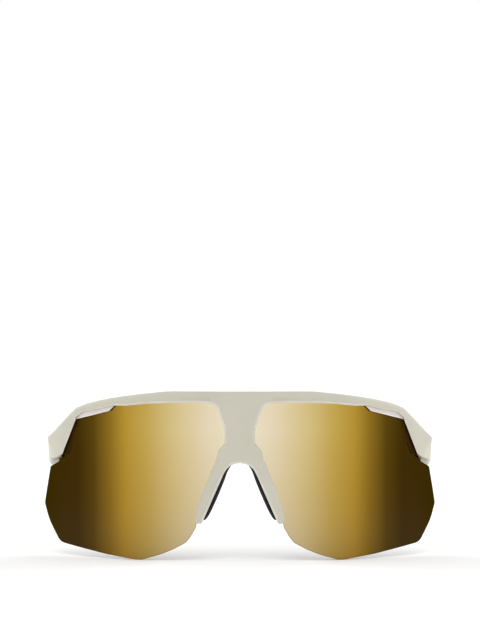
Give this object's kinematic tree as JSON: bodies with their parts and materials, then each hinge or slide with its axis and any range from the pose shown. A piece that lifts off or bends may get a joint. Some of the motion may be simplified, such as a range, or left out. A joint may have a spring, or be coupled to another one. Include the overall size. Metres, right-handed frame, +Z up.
{
  "type": "shield sunglasses",
  "caption": "Shield sunglasses with one wide mirrored lens in a half frame, folding arms on metal hinges, rubber nose pads and ear grips.",
  "frame": {"origin": "middle of the width and depth, at the height of the surface that the lens tips and ear tips stand on, arms open", "axes": "+Z up, +X to the wearer's left, the front of the lens faces -Y and the arms run back along +Y"},
  "size_m": [0.1438, 0.1656, 0.0605],
  "materials": {
    "frame_plastic": "matte, bone coloured, moulded",
    "mirror_lens": "gold mirror coating on a dark bronze base",
    "pad_rubber": "soft matte black",
    "grip_rubber": "soft matte warm grey",
    "hinge_metal": "satin"
  },
  "bodies": {
    "front": {"front_frame": "frame_plastic", "shield_lens": "mirror_lens", "nose_pad_left": "pad_rubber", "nose_pad_right": "pad_rubber", "hinge_leaf_front_left": "hinge_metal", "hinge_leaf_front_right": "hinge_metal", "front_leaf_rivets": "hinge_metal", "hinge_screw_left": "hinge_metal", "hinge_screw_right": "hinge_metal"},
    "left_arm": {"arm_left": "frame_plastic", "hinge_leaf_arm_left": "hinge_metal", "arm_rivets_left": "hinge_metal", "ear_grip_left": "grip_rubber"},
    "right_arm": {"arm_right": "frame_plastic", "hinge_leaf_arm_right": "hinge_metal", "arm_rivets_right": "hinge_metal", "ear_grip_right": "grip_rubber"}
  },
  "joints": [
    {"name": "left_arm_fold", "type": "hinge", "parent": "front", "child": "left_arm", "pos_m": [0.066, -0.03595, 0.0378], "axis": [0, 0, 1], "range_deg": [0, 82]},
    {"name": "right_arm_fold", "type": "hinge", "parent": "front", "child": "right_arm", "pos_m": [-0.066, -0.03595, 0.0378], "axis": [0, 0, -1], "range_deg": [0, 90]}
  ]
}
